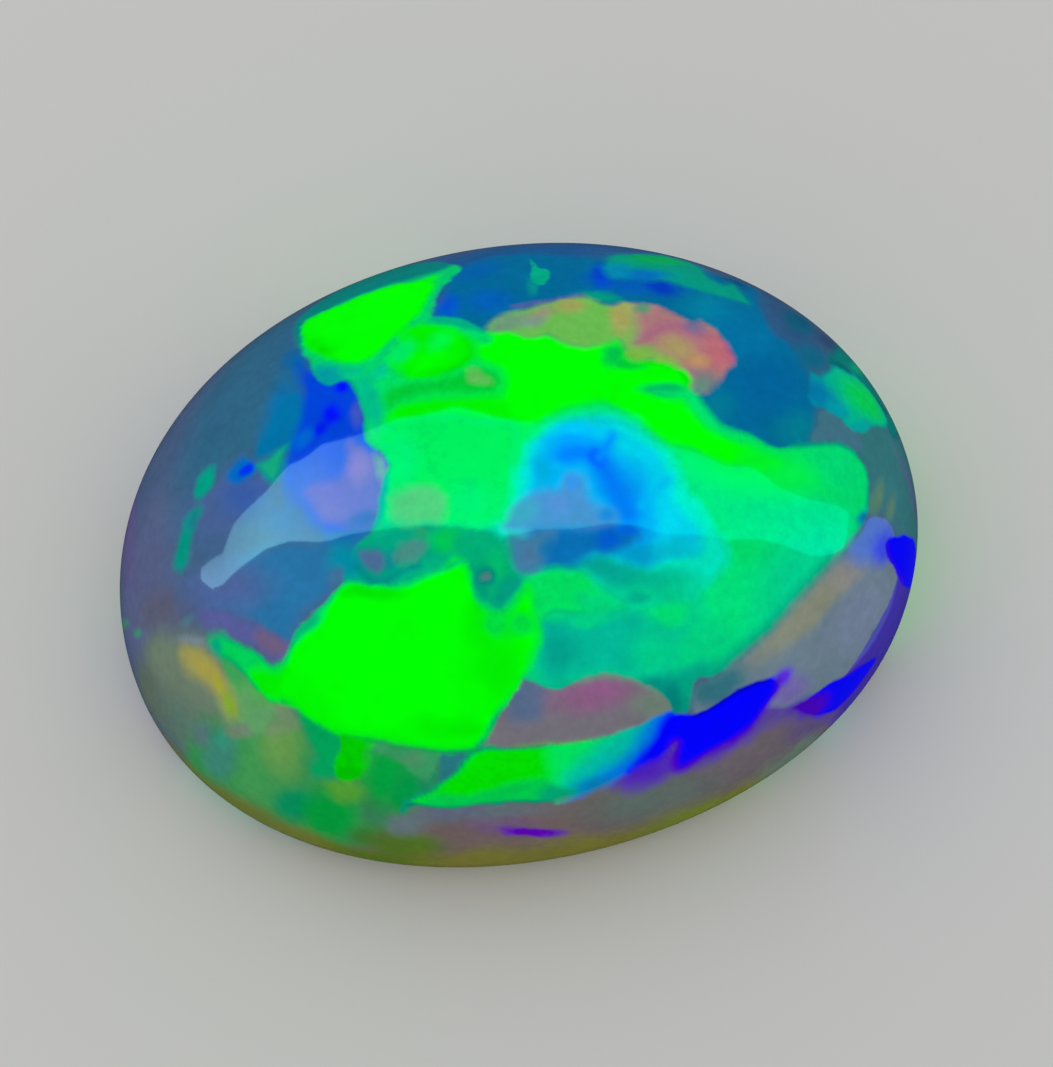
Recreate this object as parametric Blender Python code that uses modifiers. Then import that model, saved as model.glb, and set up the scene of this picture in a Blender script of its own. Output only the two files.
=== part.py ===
"""Oval opal cabochon, 20 mm long: one polished stone with a high dome, a rounded girdle and a flat back.

Run with: blender --background --python part.py
Units are metres, +Z is up, and the origin is the middle of the flat back.
"""

import math

import bpy
import bmesh

MM = 0.001

# Driving dimensions of the stone.
LENGTH = 20.0 * MM
WIDTH = 15.55 * MM
HEIGHT = 8.4 * MM
GIRDLE_LEVEL = 1.5 * MM  # height of the widest line above the back
BACK_SHARE = 0.88  # the flat back's size as a share of the girdle's
DOME_FULLNESS = 2.2  # exponent of the dome's section: 2 is an ellipse, more is fuller at the shoulders

# Hand cutting leaves the oval a little squarish and a little egg-shaped.
SQUARISH = 0.005
EGG_ALONG = 0.004
EGG_ACROSS = 0.0045

# How finely the faceted solid follows the curves.
TURN_STEPS = 72
DOME_POINTS = 14
SHOULDER_POINTS = 5
BACK_POINTS = 3
MERGE = 0.01 * MM


def dome_section(radius):
    """Points of the dome from its crown to just above the girdle, as (distance from the axis, height)."""
    rise = HEIGHT - GIRDLE_LEVEL
    points = []
    for i in range(DOME_POINTS):
        angle = math.pi / 2 * (1 - i / DOME_POINTS)
        out = max(math.cos(angle), 0.0) ** (2 / DOME_FULLNESS)
        up = math.sin(angle) ** (2 / DOME_FULLNESS)
        points.append((radius * out if i else 0.0, GIRDLE_LEVEL + rise * up))
    return points


def shoulder_section(radius):
    """Points of the rounded shoulder that turns from the girdle in under the stone to the flat back."""
    points = []
    for i in range(SHOULDER_POINTS + 1):
        angle = math.pi / 2 * i / SHOULDER_POINTS
        inward = (1 - BACK_SHARE) * (1 - math.cos(angle))
        points.append((radius * (1 - inward), GIRDLE_LEVEL * (1 - math.sin(angle))))
    return points


def back_section(radius):
    """Points across the flat back, from its edge to the axis."""
    edge = radius * BACK_SHARE
    return [(edge * (1 - i / BACK_POINTS), 0.0) for i in range(1, BACK_POINTS + 1)]


def turned_stone():
    """A round stone, turned from its section, as an object whose Screw modifier is still live."""
    radius = LENGTH / 2
    section = dome_section(radius) + shoulder_section(radius) + back_section(radius)
    mesh = bpy.data.meshes.new("section")
    edges = [(i, i + 1) for i in range(len(section) - 1)]
    mesh.from_pydata([(x, 0.0, z) for x, z in section], edges, [])
    stone = bpy.data.objects.new("turned_section", mesh)
    bpy.context.scene.collection.objects.link(stone)
    screw = stone.modifiers.new("turn", "SCREW")
    screw.steps = screw.render_steps = TURN_STEPS
    screw.use_merge_vertices = True
    screw.merge_threshold = MERGE
    screw.use_smooth_shade = True
    return stone


def hand_cut(angle):
    """How far the outline stands from a true oval in this direction, as a factor near 1."""
    egg = EGG_ALONG * math.cos(3 * angle) - EGG_ACROSS * math.sin(3 * angle)
    return 1 + egg - SQUARISH * math.cos(4 * angle)


def oval_mesh(round_mesh):
    """Squeezes the round stone to the oval plan, then centres it and brings it to its exact length and width."""
    shape = bmesh.new()
    shape.from_mesh(round_mesh)
    for v in shape.verts:
        factor = hand_cut(math.atan2(v.co.y, v.co.x))
        v.co.x *= factor
        v.co.y *= factor * WIDTH / LENGTH
    for axis, size in ((0, LENGTH), (1, WIDTH)):
        low = min(v.co[axis] for v in shape.verts)
        high = max(v.co[axis] for v in shape.verts)
        for v in shape.verts:
            v.co[axis] = (v.co[axis] - (low + high) / 2) * size / (high - low)
    bmesh.ops.triangulate(shape, faces=shape.faces)
    mesh = bpy.data.meshes.new("opal_cabochon")
    shape.to_mesh(mesh)
    shape.free()
    mesh.shade_smooth()
    return mesh


def opal_material():
    """Polished precious opal: a milky, see-through body with green and blue play of colour."""
    material = bpy.data.materials.new("precious_opal")
    material.use_nodes = True
    shader = material.node_tree.nodes["Principled BSDF"]
    shader.inputs["Base Color"].default_value = (0.03, 0.55, 0.22, 1)
    shader.inputs["Metallic"].default_value = 0.0
    shader.inputs["Roughness"].default_value = 0.06
    shader.inputs["IOR"].default_value = 1.45
    material.diffuse_color = (0.03, 0.55, 0.22, 1)
    return material


for leftover in list(bpy.data.objects):
    bpy.data.objects.remove(leftover, do_unlink=True)

parts = bpy.data.collections.new("opal_cabochon_parts")
bpy.context.scene.collection.children.link(parts)

turned = turned_stone()
evaluated = turned.evaluated_get(bpy.context.evaluated_depsgraph_get())
round_mesh = bpy.data.meshes.new_from_object(evaluated)
bpy.data.objects.remove(turned, do_unlink=True)

opal = bpy.data.objects.new("opal_cabochon", oval_mesh(round_mesh))
opal.data.materials.append(opal_material())
parts.objects.link(opal)
bpy.data.meshes.remove(round_mesh)
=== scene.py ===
import math

import bmesh
import bpy
import numpy as np
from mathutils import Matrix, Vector, noise
from mathutils.interpolate import poly_3d_calc


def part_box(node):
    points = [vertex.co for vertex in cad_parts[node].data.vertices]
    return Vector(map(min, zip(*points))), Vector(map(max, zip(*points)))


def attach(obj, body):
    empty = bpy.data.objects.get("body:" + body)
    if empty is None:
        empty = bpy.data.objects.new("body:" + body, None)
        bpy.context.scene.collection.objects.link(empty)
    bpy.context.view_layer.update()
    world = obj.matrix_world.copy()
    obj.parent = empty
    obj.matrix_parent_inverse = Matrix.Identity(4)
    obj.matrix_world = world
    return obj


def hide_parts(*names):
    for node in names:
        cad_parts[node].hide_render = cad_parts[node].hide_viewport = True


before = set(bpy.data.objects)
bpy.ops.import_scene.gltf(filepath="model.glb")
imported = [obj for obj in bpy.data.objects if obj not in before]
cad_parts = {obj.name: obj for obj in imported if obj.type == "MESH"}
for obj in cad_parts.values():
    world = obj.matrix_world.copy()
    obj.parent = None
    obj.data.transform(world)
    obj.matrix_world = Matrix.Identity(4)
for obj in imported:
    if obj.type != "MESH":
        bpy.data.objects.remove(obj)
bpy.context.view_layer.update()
MM = 0.001

# The view. The stone lies on its flat back and is looked down on from 65 degrees, a little from the left of
# its short axis, through a long lens. Its outline then has the photograph's proportions and tilt.
PHOTO_WIDTH = 1053
PHOTO_HEIGHT = 1067
view_elevation = math.radians(65)
view_azimuth = math.radians(-13.485)
view_distance = 61.782 * MM
view_aim = Vector((0.145, -0.096, 3.0)) * MM


def placed(name, data):
    """A new object of the scene."""
    thing = bpy.data.objects.new(name, data)
    bpy.context.scene.collection.objects.link(thing)
    return thing


toward_camera = Vector((
    math.sin(view_azimuth) * math.cos(view_elevation),
    -math.cos(view_azimuth) * math.cos(view_elevation),
    math.sin(view_elevation),
))
camera_right = Vector((math.cos(view_azimuth), math.sin(view_azimuth), 0))
camera_up = toward_camera.cross(camera_right)
camera_data = bpy.data.cameras.new("camera")
camera_data.lens = 85
camera_data.clip_start = 1 * MM
camera = placed("camera", camera_data)
camera.location = view_aim + view_distance * toward_camera
camera.rotation_euler = toward_camera.to_track_quat("Z", "Y").to_euler()
bpy.context.scene.camera = camera

# The stone: one piece of precious opal, sawn, ground to an oval, domed and polished by hand. The dome runs
# over a rounded girdle to a flat polished back, and the outline is a little squarish and egg-shaped, as hand
# cutting leaves it.
low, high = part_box("opal_cabochon")
length, width, height = high - low
girdle_level = 1.5 * MM
back_share = 0.88
dome_fullness = 2.2
squarish = 0.005
egg_along = 0.004
egg_across = 0.0045
dome_steps = 400
shoulder_steps = 100
mesh_cuts = 127
back_begins = math.radians(140)
mean_radius = (length + width) / 4

climb = np.linspace(math.pi / 2, 0, dome_steps)
tuck = np.linspace(0, math.pi / 2, shoulder_steps)[1:]
dome_up = girdle_level + (height - girdle_level) * np.sin(climb) ** (2 / dome_fullness)
dome_out = np.cos(climb).clip(0) ** (2 / dome_fullness)
section_out = np.r_[dome_out, 1 - (1 - back_share) * (1 - np.cos(tuck))]
section_up = np.r_[dome_up, girdle_level * (1 - np.sin(tuck))]
section_run = np.r_[0, np.cumsum(np.hypot(np.diff(section_out) * mean_radius, np.diff(section_up)))]

ball = bmesh.new()
bmesh.ops.create_cube(ball, size=2)
bmesh.ops.subdivide_edges(ball, edges=ball.edges, cuts=mesh_cuts, use_grid_fill=True)
stone_mesh = bpy.data.meshes.new("opal")
ball.to_mesh(stone_mesh)
ball.free()

unit = np.empty(len(stone_mesh.vertices) * 3, np.float32)
stone_mesh.vertices.foreach_get("co", unit)
unit = np.tan(unit.reshape(-1, 3).astype(float) * math.pi / 4)
unit /= np.linalg.norm(unit, axis=1, keepdims=True)
turn = np.arctan2(unit[:, 1], unit[:, 0])
lean = np.arccos(unit[:, 2].clip(-1, 1))
run = section_run[-1] * (lean / back_begins).clip(0, 1)
on_back = lean > back_begins
out = np.interp(run, section_run, section_out)
out[on_back] = back_share * (math.pi - lean[on_back]) / (math.pi - back_begins)
up = np.where(on_back, 0.0, np.interp(run, section_run, section_up))
cut = 1 + egg_along * np.cos(3 * turn) - egg_across * np.sin(3 * turn) - squarish * np.cos(4 * turn)
plan = np.c_[np.cos(turn) * length, np.sin(turn) * width] / 2 * (out * cut)[:, None]
plan -= (plan.max(0) + plan.min(0)) / 2
plan *= np.array((length, width)) / np.ptp(plan, axis=0)
stone_mesh.vertices.foreach_set("co", np.c_[plan, up].astype(np.float32).ravel())
stone_mesh.shade_smooth()

opal = placed("opal", stone_mesh)
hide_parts("opal_cabochon")
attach(opal, "root")

# The play of colour. Flashes lie in the stone as panes with clear outlines, over a hazy body. Each is laid
# out on the dome as if its side were folded out flat, in millimetres over the surface from the crown, so
# that it keeps its shape.
unfolded = np.c_[np.cos(turn) * length, np.sin(turn) * width] / (2 * mean_radius) * (run / MM)[:, None]
back_apart = 40
unfolded[on_back] = plan[on_back] / MM * (-1, 1) + (back_apart, 0)
sway_scale = 1.1
sway_octaves = 3
sway_seed = 39
noise.seed_set(sway_seed)
sway = np.array([
    noise.turbulence_vector((x * sway_scale, y * sway_scale, 0), sway_octaves, False)[:2]
    for x, y in unfolded])
outline_wander = 0.04
tint_wander = 0.12
wash_end = 1.25
farthest = 1.6
search_steps = 12
pixels_per_mm = 40
photo_middle = (519, 555)


def ray_through(px, py):
    """The direction from the camera through a point of the photograph."""
    focal = camera_data.lens / camera_data.sensor_width * PHOTO_HEIGHT
    return (
        camera_right * (px - PHOTO_WIDTH / 2) + camera_up * (PHOTO_HEIGHT / 2 - py) - toward_camera * focal
    ).normalized()


def struck(px, py):
    """Where the ray through a photograph point meets the stone, with the face's corners and their shares."""
    hit, place, _, face = opal.ray_cast(camera.location, ray_through(px, py))
    if not hit:
        return None
    corners = list(stone_mesh.polygons[face].vertices)
    return place, corners, poly_3d_calc([stone_mesh.vertices[i].co for i in corners], place)


def hit_at(px, py):
    """The same place on the unfolded stone, or None where the ray passes by."""
    found = struck(px, py)
    if found is None:
        return None
    _, corners, shares = found
    return Vector(np.array(shares) @ unfolded[corners])


def on_stone(px, py):
    """A photograph point on the unfolded stone. One beyond its outline goes on down its side from there."""
    found = hit_at(px, py)
    if found is not None:
        return found
    inner, outer = 0.0, 1.0
    for _ in range(search_steps):
        share = (inner + outer) / 2
        tried = hit_at(*(m + (p - m) * share for m, p in zip(photo_middle, (px, py))))
        if tried is None:
            outer = share
        else:
            inner, found = share, tried
    beyond = math.dist(photo_middle, (px, py)) * (1 - inner) / pixels_per_mm
    return found * (1 + beyond / found.length)


def rounded(outline, steps=3):
    """A closed curve through the outline's points, as more points."""
    at = np.array(outline, float)
    before, after, later = (np.roll(at, shift, 0) for shift in (1, -1, -2))
    curve = []
    for t in np.arange(steps) / steps:
        curve.append(
            at
            + t / 2 * (after - before)
            + t * t / 2 * (2 * before - 5 * at + 4 * after - later)
            + t ** 3 / 2 * (3 * at - before - 3 * after + later)
        )
    return np.stack(curve, 1).reshape(-1, 2)


def oval(middle, reach, turned, count=16):
    """An oval outline in photograph pixels, turned in degrees, rising to the right."""
    turns = np.arange(count) * math.tau / count
    along, across = reach[0] * np.cos(turns), reach[1] * np.sin(turns)
    angle = math.radians(turned)
    return np.c_[
        middle[0] + along * math.cos(angle) + across * math.sin(angle),
        middle[1] - along * math.sin(angle) + across * math.cos(angle),
    ]


def depth_inside(outline, wander=outline_wander):
    """How far each mesh point is inside an outline in photograph pixels, in mm, and below 0 outside."""
    at = unfolded + wander * sway
    start = np.array([on_stone(*point) for point in rounded(outline)], np.float32)
    step = np.roll(start, -1, 0) - start
    near = ((at > start.min(0) - farthest) & (at < start.max(0) + farthest)).all(1)
    offset = at[near].astype(np.float32)[:, None] - start
    along = ((offset * step).sum(2) / (step ** 2).sum(1).clip(1e-9)).clip(0, 1)
    gap = offset - along[..., None] * step
    gap = np.sqrt((gap ** 2).sum(2).min(1))
    above = offset[..., 1] < 0
    above_next = offset[..., 1] < step[:, 1]
    slope = step[:, 0] / np.where(step[:, 1] == 0, 1, step[:, 1])
    crossings = (above != above_next) & (offset[..., 0] < offset[..., 1] * slope)
    depth = np.full(len(unfolded), -farthest, np.float32)
    depth[near] = np.where(crossings.sum(1) % 2 == 1, gap, -gap).clip(-farthest, farthest)
    return depth


def seen(red, green, blue):
    """A colour as the photograph shows it, 0 to 255, in the linear values that a shader takes."""
    share = np.array((red, green, blue)) / 255
    linear = np.where(share > 0.04045, ((share + 0.055) / 1.055) ** 2.4, share / 12.92)
    return linear.tolist()


class Layer:
    """Panes of colour side by side at one depth in the stone, with washes and clouds of colour in them."""

    def __init__(self, name):
        self.name = name
        self.depth = np.full(len(unfolded), -farthest)
        self.sharpness = np.ones(len(unfolded))
        self.strength = np.ones(len(unfolded))
        self.colour = np.zeros((len(unfolded), 3))
        self.latest = np.ones(len(unfolded), bool)

    def pane(self, outline, colour, edge=None, edge_width=0.2, softness=0.1, strength=1.0, grow=0.0):
        """Adds a pane with an outline in photograph pixels, and an edge of another colour just inside it."""
        depth = depth_inside(outline) + grow
        self.latest = depth > self.depth
        self.depth[self.latest] = depth[self.latest]
        self.sharpness[self.latest] = 1 / softness
        self.strength[self.latest] = strength
        self.colour[self.latest] = seen(*(edge or colour))
        self.tint(smooth(depth / edge_width), colour)

    def tint(self, share, colour):
        """Mixes a colour into the latest pane, by a share at each point."""
        share = (share * self.latest)[:, None]
        self.colour = self.colour * (1 - share) + np.array(seen(*colour)) * share

    def cloud(self, outline, colour, softness=0.3, strength=1.0):
        """Tints the latest pane inside an outline in photograph pixels, with a soft edge."""
        self.tint(smooth(depth_inside(outline, tint_wander) / softness + 0.5) * strength, colour)

    def wash(self, middle, reach, turned, colour, core=0.2, strength=1.0):
        """Tints the latest pane in an oval in photograph pixels, turned in degrees, rising to the right."""
        centre = on_stone(*middle)
        angle = math.radians(turned)
        ends = (
            (middle[0] + reach[0] * math.cos(angle), middle[1] - reach[0] * math.sin(angle)),
            (middle[0] + reach[1] * math.sin(angle), middle[1] + reach[1] * math.cos(angle)),
        )
        into = np.linalg.inv(np.array([on_stone(*end) - centre for end in ends]))
        away = np.linalg.norm((unfolded + tint_wander * sway - np.array(centre)) @ into, axis=1)
        self.tint(smooth((wash_end - away) / (wash_end - core)) * strength, colour)

    def washes(self, *ovals):
        """Tints the latest pane in several ovals, one after another, each given as for wash."""
        for given in ovals:
            self.wash(*given)

    def trace(self, line, colour, reach=0.06, softness=0.25, strength=1.0):
        """Tints the latest pane along a line in photograph pixels, out to a reach in mm, with soft sides."""
        self.tint(beside(line, reach, softness) * strength, colour)

    def soften(self, line, softness, reach=0.25):
        """Makes the latest pane's outline softer beside a line in photograph pixels."""
        self.sharpness += (1 / softness - self.sharpness) * beside(line, reach, fade=0.3) * self.latest

    def over(self, under):
        """Stores the layer on the mesh, lays it over the colour that comes in, and gives the new colour."""
        group = tree.nodes.new("ShaderNodeGroup")
        group.node_tree = pane_group
        tree.links.new(under, group.inputs["Under"])
        colour = stored(self.name + "_colour", self.colour)
        tree.links.new(colour.outputs["Color"], group.inputs["Pane Colour"])
        shape = stored(self.name + "_shape", np.c_[self.depth, self.sharpness, self.strength])
        tree.links.new(shape.outputs["Vector"], group.inputs["Shape"])
        tree.links.new(ripple, group.inputs["Ripple"])
        return group.outputs[0]


def beside(line, reach, fade):
    """1 beside a line in photograph pixels, out to a reach in mm, and fading to 0 beyond that."""
    return smooth((reach + depth_inside(line + line[-2:0:-1])) / fade + 0.5)


def smooth(share):
    """0 below 0, 1 above 1 and a smooth climb between them."""
    share = share.clip(0, 1)
    return share * share * (3 - 2 * share)


def stored(name, values):
    """Stores three numbers for each of the mesh's points and gives the shader node that reads them."""
    attribute = stone_mesh.attributes.new(name, "FLOAT_VECTOR", "POINT")
    attribute.data.foreach_set("vector", values.astype(np.float32).ravel())
    return add(tree, "ShaderNodeAttribute", attribute_name=name)


def fill(tree, socket, value):
    """Joins an input to another node's output, or sets its value. None leaves it alone."""
    if isinstance(value, bpy.types.NodeSocket):
        tree.links.new(value, socket)
    elif value is not None:
        socket.default_value = value


def add(tree, kind, inputs=(), **settings):
    """Adds a node, sets it up and fills its inputs in order."""
    node = tree.nodes.new(kind)
    for key, value in settings.items():
        setattr(node, key, value)
    for socket, value in zip(node.inputs, inputs):
        fill(tree, socket, value)
    return node


def maths(tree, operation, *values):
    """A Math node's output."""
    return add(tree, "ShaderNodeMath", values, operation=operation).outputs[0]


def smooth_range(tree, value, start, end):
    """0 before start, 1 after end and a smooth climb between them."""
    return add(tree, "ShaderNodeMapRange", (value, start, end), interpolation_type="SMOOTHSTEP").outputs[0]


def mixed(tree, share, first, second):
    """Two colours mixed by a share."""
    node = tree.nodes.new("ShaderNodeMix")
    node.data_type = "RGBA"
    for place, value in ((0, share), (6, first), (7, second)):
        fill(tree, node.inputs[place], value)
    return node.outputs[2]


feather = 5.0
pane_group = bpy.data.node_groups.new("pane", "ShaderNodeTree")
for label, kind in (
    ("Under", "NodeSocketColor"), ("Pane Colour", "NodeSocketColor"),
    ("Shape", "NodeSocketVector"), ("Ripple", "NodeSocketFloat"),
):
    pane_group.interface.new_socket(label, in_out="INPUT", socket_type=kind)
pane_group.interface.new_socket("Colour", in_out="OUTPUT", socket_type="NodeSocketColor")
given = pane_group.nodes.new("NodeGroupInput").outputs
depth, sharpness, strength = add(pane_group, "ShaderNodeSeparateXYZ", (given["Shape"],)).outputs
wavy_depth = maths(pane_group, "ADD", depth, given["Ripple"])
wavy_depth = maths(pane_group, "MULTIPLY", wavy_depth, sharpness)
feathered = maths(pane_group, "ADD", wavy_depth, maths(pane_group, "MULTIPLY", given["Ripple"], feather))
cover = smooth_range(pane_group, feathered, -0.5, 0.5)
cover = maths(pane_group, "MULTIPLY", cover, strength)
laid = mixed(pane_group, cover, given["Under"], given["Pane Colour"])
add(pane_group, "NodeGroupOutput", (laid,))

bpy.context.view_layer.update()
opal_material = bpy.data.materials.new("play_of_colour")
opal_material.use_nodes = True
tree = opal_material.node_tree
shader = tree.nodes["Principled BSDF"]

# The fine unevenness that feathers every border and mottles the panes, from two noises. A noise is given as
# its scale, detail and roughness, and a reach is in millimetres.
coarse_grain = (900.0, 2.0, 0.5)
fine_grain = (4000.0, 3.0, 0.6)
coarse_reach = 0.16
fine_reach = 0.07
solid_place = add(tree, "ShaderNodeTexCoord").outputs["Object"]
coarse = add(tree, "ShaderNodeTexNoise", (solid_place, None, *coarse_grain)).outputs[0]
fine = add(tree, "ShaderNodeTexNoise", (solid_place, None, *fine_grain)).outputs[0]
coarse_wave = maths(tree, "MULTIPLY", coarse, coarse_reach)
wave = maths(tree, "ADD", coarse_wave, maths(tree, "MULTIPLY", fine, fine_reach))
ripple = maths(tree, "SUBTRACT", wave, (coarse_reach + fine_reach) / 2)

# The hazy body: lilac grey on the left, steel blue along the top, mauve grey on the lower side and green
# grey at lower left, with the clouds that have no clear outline. Part of it is painted light: the darker
# steel blue along the top and left edge is painted shade at the dome's edge together with the blue light
# that the haze scatters on the lit side, and the greener grey low down is painted light let through the
# stone.
body = Layer("body")
body.colour[:] = seen(70, 92, 128)
# Painted shade and painted scattered light among these: the darker steel blue along the top and left edge.
body.washes(
    ((140, 585), (50, 100), 0, (84, 94, 132), 0.4),
    ((245, 400), (150, 75), 50, (46, 98, 128), 0.4),
    ((285, 415), (50, 28), 80, (0, 110, 166)),
    ((300, 425), (30, 16), 80, (0, 92, 196)),
    ((500, 262), (200, 45), 3, (26, 88, 146)),
    ((770, 335), (130, 60), -50, (44, 84, 128), 0.4),
    ((895, 465), (110, 55), -75, (50, 114, 120), 0.5),
    ((800, 322), (26, 16), -35, (8, 92, 124)),
    ((828, 342), (20, 9), -45, (44, 78, 114)),
    ((812, 358), (26, 18), -30, (14, 98, 130)),
    ((877, 497), (24, 7), 80, (82, 126, 106)),
    ((891, 508), (18, 6), 80, (84, 124, 108)),
    ((912, 492), (50, 4), -83, (76, 100, 132)),
    ((129, 515), (9, 80), 0, (94, 84, 138)),
    ((160, 612), (44, 28), 0, (86, 89, 112)),
    ((296, 360), (18, 18), 0, (12, 98, 156)),
    ((284, 520), (36, 24), -30, (50, 100, 158)),
    ((225, 505), (70, 45), 30, (70, 96, 146)),
    ((243, 497), (34, 24), 20, (56, 92, 164)),
    ((160, 692), (50, 40), -60, (92, 108, 98), 0.4),
    ((200, 735), (65, 50), -40, (86, 116, 104), 0.3),
    ((560, 835), (300, 70), 4, (108, 93, 94), 0.6),
    ((760, 770), (160, 70), 32, (101, 94, 101), 0.6),
    ((650, 800), (80, 22), 14, (90, 104, 99)),
    ((480, 812), (90, 14), 3, (92, 106, 114)),
    ((810, 728), (26, 12), 35, (92, 78, 122)),
)
body.cloud([
    (204, 592), (240, 560), (290, 543), (352, 548), (360, 562), (343, 577), (325, 594), (305, 612),
    (295, 632), (285, 652), (268, 634), (240, 616), (214, 610)], (38, 112, 162), softness=0.5)
body.washes(
    ((222, 588), (60, 36), 10, (74, 98, 152)),
    ((346, 538), (40, 16), 0, (22, 112, 166)),
    ((346, 558), (22, 20), 0, (0, 134, 160)),
    ((338, 576), (14, 12), 0, (62, 110, 150)),
)
body.cloud([
    (200, 612), (240, 618), (270, 635), (290, 645), (280, 660), (262, 652), (240, 641), (220, 632),
    (203, 628)], (84, 90, 150))
body.wash((270, 643), (22, 11), -25, (108, 92, 128), core=0.4)
for speck in ((137, 633), (124, 624)):
    body.wash(speck, (6, 6), 40, (60, 138, 108))
body.wash((187, 621), (9, 6), 30, (74, 112, 136))
body.cloud([
    (222, 702), (260, 730), (300, 720), (335, 728), (370, 742), (420, 752), (434, 790), (404, 822),
    (345, 850), (300, 838), (240, 825), (195, 800), (188, 750)], (50, 142, 78), softness=0.8)
body.washes(
    ((258, 775), (44, 40), 0, (62, 148, 80), 0.3),
    ((296, 805), (28, 15), -15, (0, 142, 92), 0.4),
    ((328, 816), (32, 24), -20, (0, 152, 58), 0.4),
    ((378, 812), (20, 18), 0, (52, 122, 82), 0.5),
    ((366, 836), (24, 12), 0, (56, 118, 50)),
    ((390, 837), (24, 11), -5, (76, 102, 62)),
    ((406, 846), (46, 13), -3, (80, 112, 38), 0.4),
    ((406, 824), (26, 14), 0, (96, 112, 120)),
    ((385, 775), (30, 40), 0, (0, 158, 62)),
    ((401, 800), (12, 14), 0, (0, 148, 60)),
    ((410, 788), (22, 24), 0, (0, 148, 70)),
    ((345, 790), (24, 13), -5, (80, 158, 52), 0.3),
    ((280, 745), (28, 40), 15, (98, 150, 76)),
    ((274, 704), (20, 10), -20, (108, 142, 100), 0.5),
    ((218, 758), (24, 28), 10, (60, 132, 116), 0.3),
    ((201, 735), (13, 15), 0, (88, 108, 124), 0.2, 0.8),
    ((222, 740), (10, 14), 20, (50, 144, 118)),
    ((240, 727), (20, 15), 0, (110, 132, 110), 0.3),
)
body.cloud([
    (150, 640), (185, 632), (225, 652), (250, 700), (235, 722), (205, 715), (170, 690), (152, 668)],
    (104, 122, 104), softness=1.0)
body.wash((244, 694), (30, 30), -40, (84, 162, 88), core=0.5)
body.cloud([
    (182, 645), (200, 649), (216, 662), (229, 682), (241, 708), (228, 713), (217, 700), (204, 682),
    (189, 675), (179, 660)], (148, 146, 84), softness=0.6)
body.washes(
    ((206, 668), (24, 12), -50, (162, 151, 70), 0),
    ((218, 684), (16, 6), -62, (160, 164, 48), 0),
    ((229, 702), (16, 8), -66, (122, 166, 42), 0),
    ((232, 667), (20, 9), -55, (58, 162, 86)),
    ((194, 641), (24, 6), -15, (116, 134, 150), 0.2, 0.7),
    ((500, 826), (44, 10), 0, (108, 84, 124), 0),
    ((452, 812), (44, 9), 3, (94, 102, 124)),
)
look = stored("body_colour", body.colour).outputs["Color"]

# The deepest panes: blue on the left, teal along the top and upper right, violet at the right limb. Each
# pane is a patch of the stone whose silica spheres are stacked one way, so that it sends back one colour.
ground = Layer("ground")
blue_square = [
    (297, 362), (308, 365), (322, 368), (340, 366), (356, 380), (366, 398), (372, 422), (378, 436),
    (388, 452), (398, 470), (389, 486), (381, 512), (374, 528), (350, 536), (326, 534), (302, 516),
    (284, 492), (283, 465), (293, 430), (300, 398), (296, 380)]
ground.pane(blue_square, (0, 66, 214), edge=(0, 88, 192), edge_width=0.3, softness=0.5)
ground.washes(
    ((342, 387), (9, 8), 0, (0, 10, 252), 0.3),
    ((332, 416), (16, 12), 60, (0, 12, 246)),
    ((318, 431), (12, 8), 30, (0, 22, 238)),
    ((303, 438), (14, 10), 60, (0, 100, 205)),
    ((357, 414), (7, 16), 0, (60, 84, 190)),
    ((312, 486), (40, 34), 0, (38, 80, 206)),
)
ground.cloud([
    (350, 440), (375, 455), (392, 474), (386, 498), (380, 522), (358, 526), (330, 516), (306, 500),
    (311, 489), (338, 478), (348, 462)], (96, 86, 190), softness=0.4)
ground.washes(
    ((328, 508), (20, 14), 0, (98, 90, 186)),
    ((361, 519), (20, 10), 0, (46, 76, 178)),
    ((362, 468), (15, 22), 0, (124, 100, 190)),
    ((382, 468), (7, 22), 14, (108, 150, 166)),
)
teal_field = [
    (430, 318), (440, 300), (456, 270), (500, 256), (560, 255), (620, 260), (705, 272), (758, 290),
    (768, 316), (778, 334), (792, 348), (802, 362), (812, 378), (822, 400), (820, 412), (812, 446),
    (800, 460), (740, 452), (700, 420), (560, 400), (450, 340)]
ground.pane(teal_field, (0, 104, 150), softness=0.5)
ground.washes(
    ((715, 312), (40, 24), -25, (0, 126, 160)),
    ((745, 330), (40, 40), 0, (0, 112, 160)),
    ((765, 385), (45, 40), 0, (0, 98, 152)),
    ((798, 430), (30, 26), 0, (0, 118, 140)),
    ((718, 406), (22, 22), 0, (0, 118, 146)),
    ((447, 305), (18, 18), 30, (0, 80, 204), 0),
    ((490, 300), (30, 16), 0, (0, 92, 176)),
    ((476, 270), (30, 14), 10, (0, 96, 168)),
    ((635, 282), (60, 14), -8, (0, 88, 180), 0.3),
    ((603, 275), (13, 16), 0, (0, 66, 204), 0.3),
    ((662, 288), (22, 9), -25, (0, 60, 190), 0.2),
    ((734, 282), (18, 7), -28, (0, 84, 128)),
    ((531, 285), (6, 12), 0, (0, 140, 140)),
    ((598, 297), (26, 7), -5, (0, 152, 126)),
)
violet_limb = [
    (892, 575), (892, 588), (881, 618), (868, 641), (846, 669), (815, 690), (798, 702), (812, 716),
    (835, 728), (870, 735), (920, 690), (945, 640), (950, 590), (930, 560)]
ground.pane(violet_limb, (62, 48, 166), edge=(72, 84, 172), edge_width=0.3, softness=0.12)
ground.washes(
    ((815, 722), (30, 16), 30, (92, 74, 142), 0.4),
    ((857, 702), (40, 10), 48, (112, 100, 150)),
)
ground.trace([(897, 578), (890, 605), (878, 632), (860, 657), (836, 680)], (78, 84, 178), reach=0.08)
upper_chip = [
    (193, 492), (197, 478), (206, 468), (214, 465), (217, 475), (213, 488), (203, 498), (196, 500)]
ground.pane(upper_chip, (0, 154, 128), edge=(20, 132, 130), softness=0.2)
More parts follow.
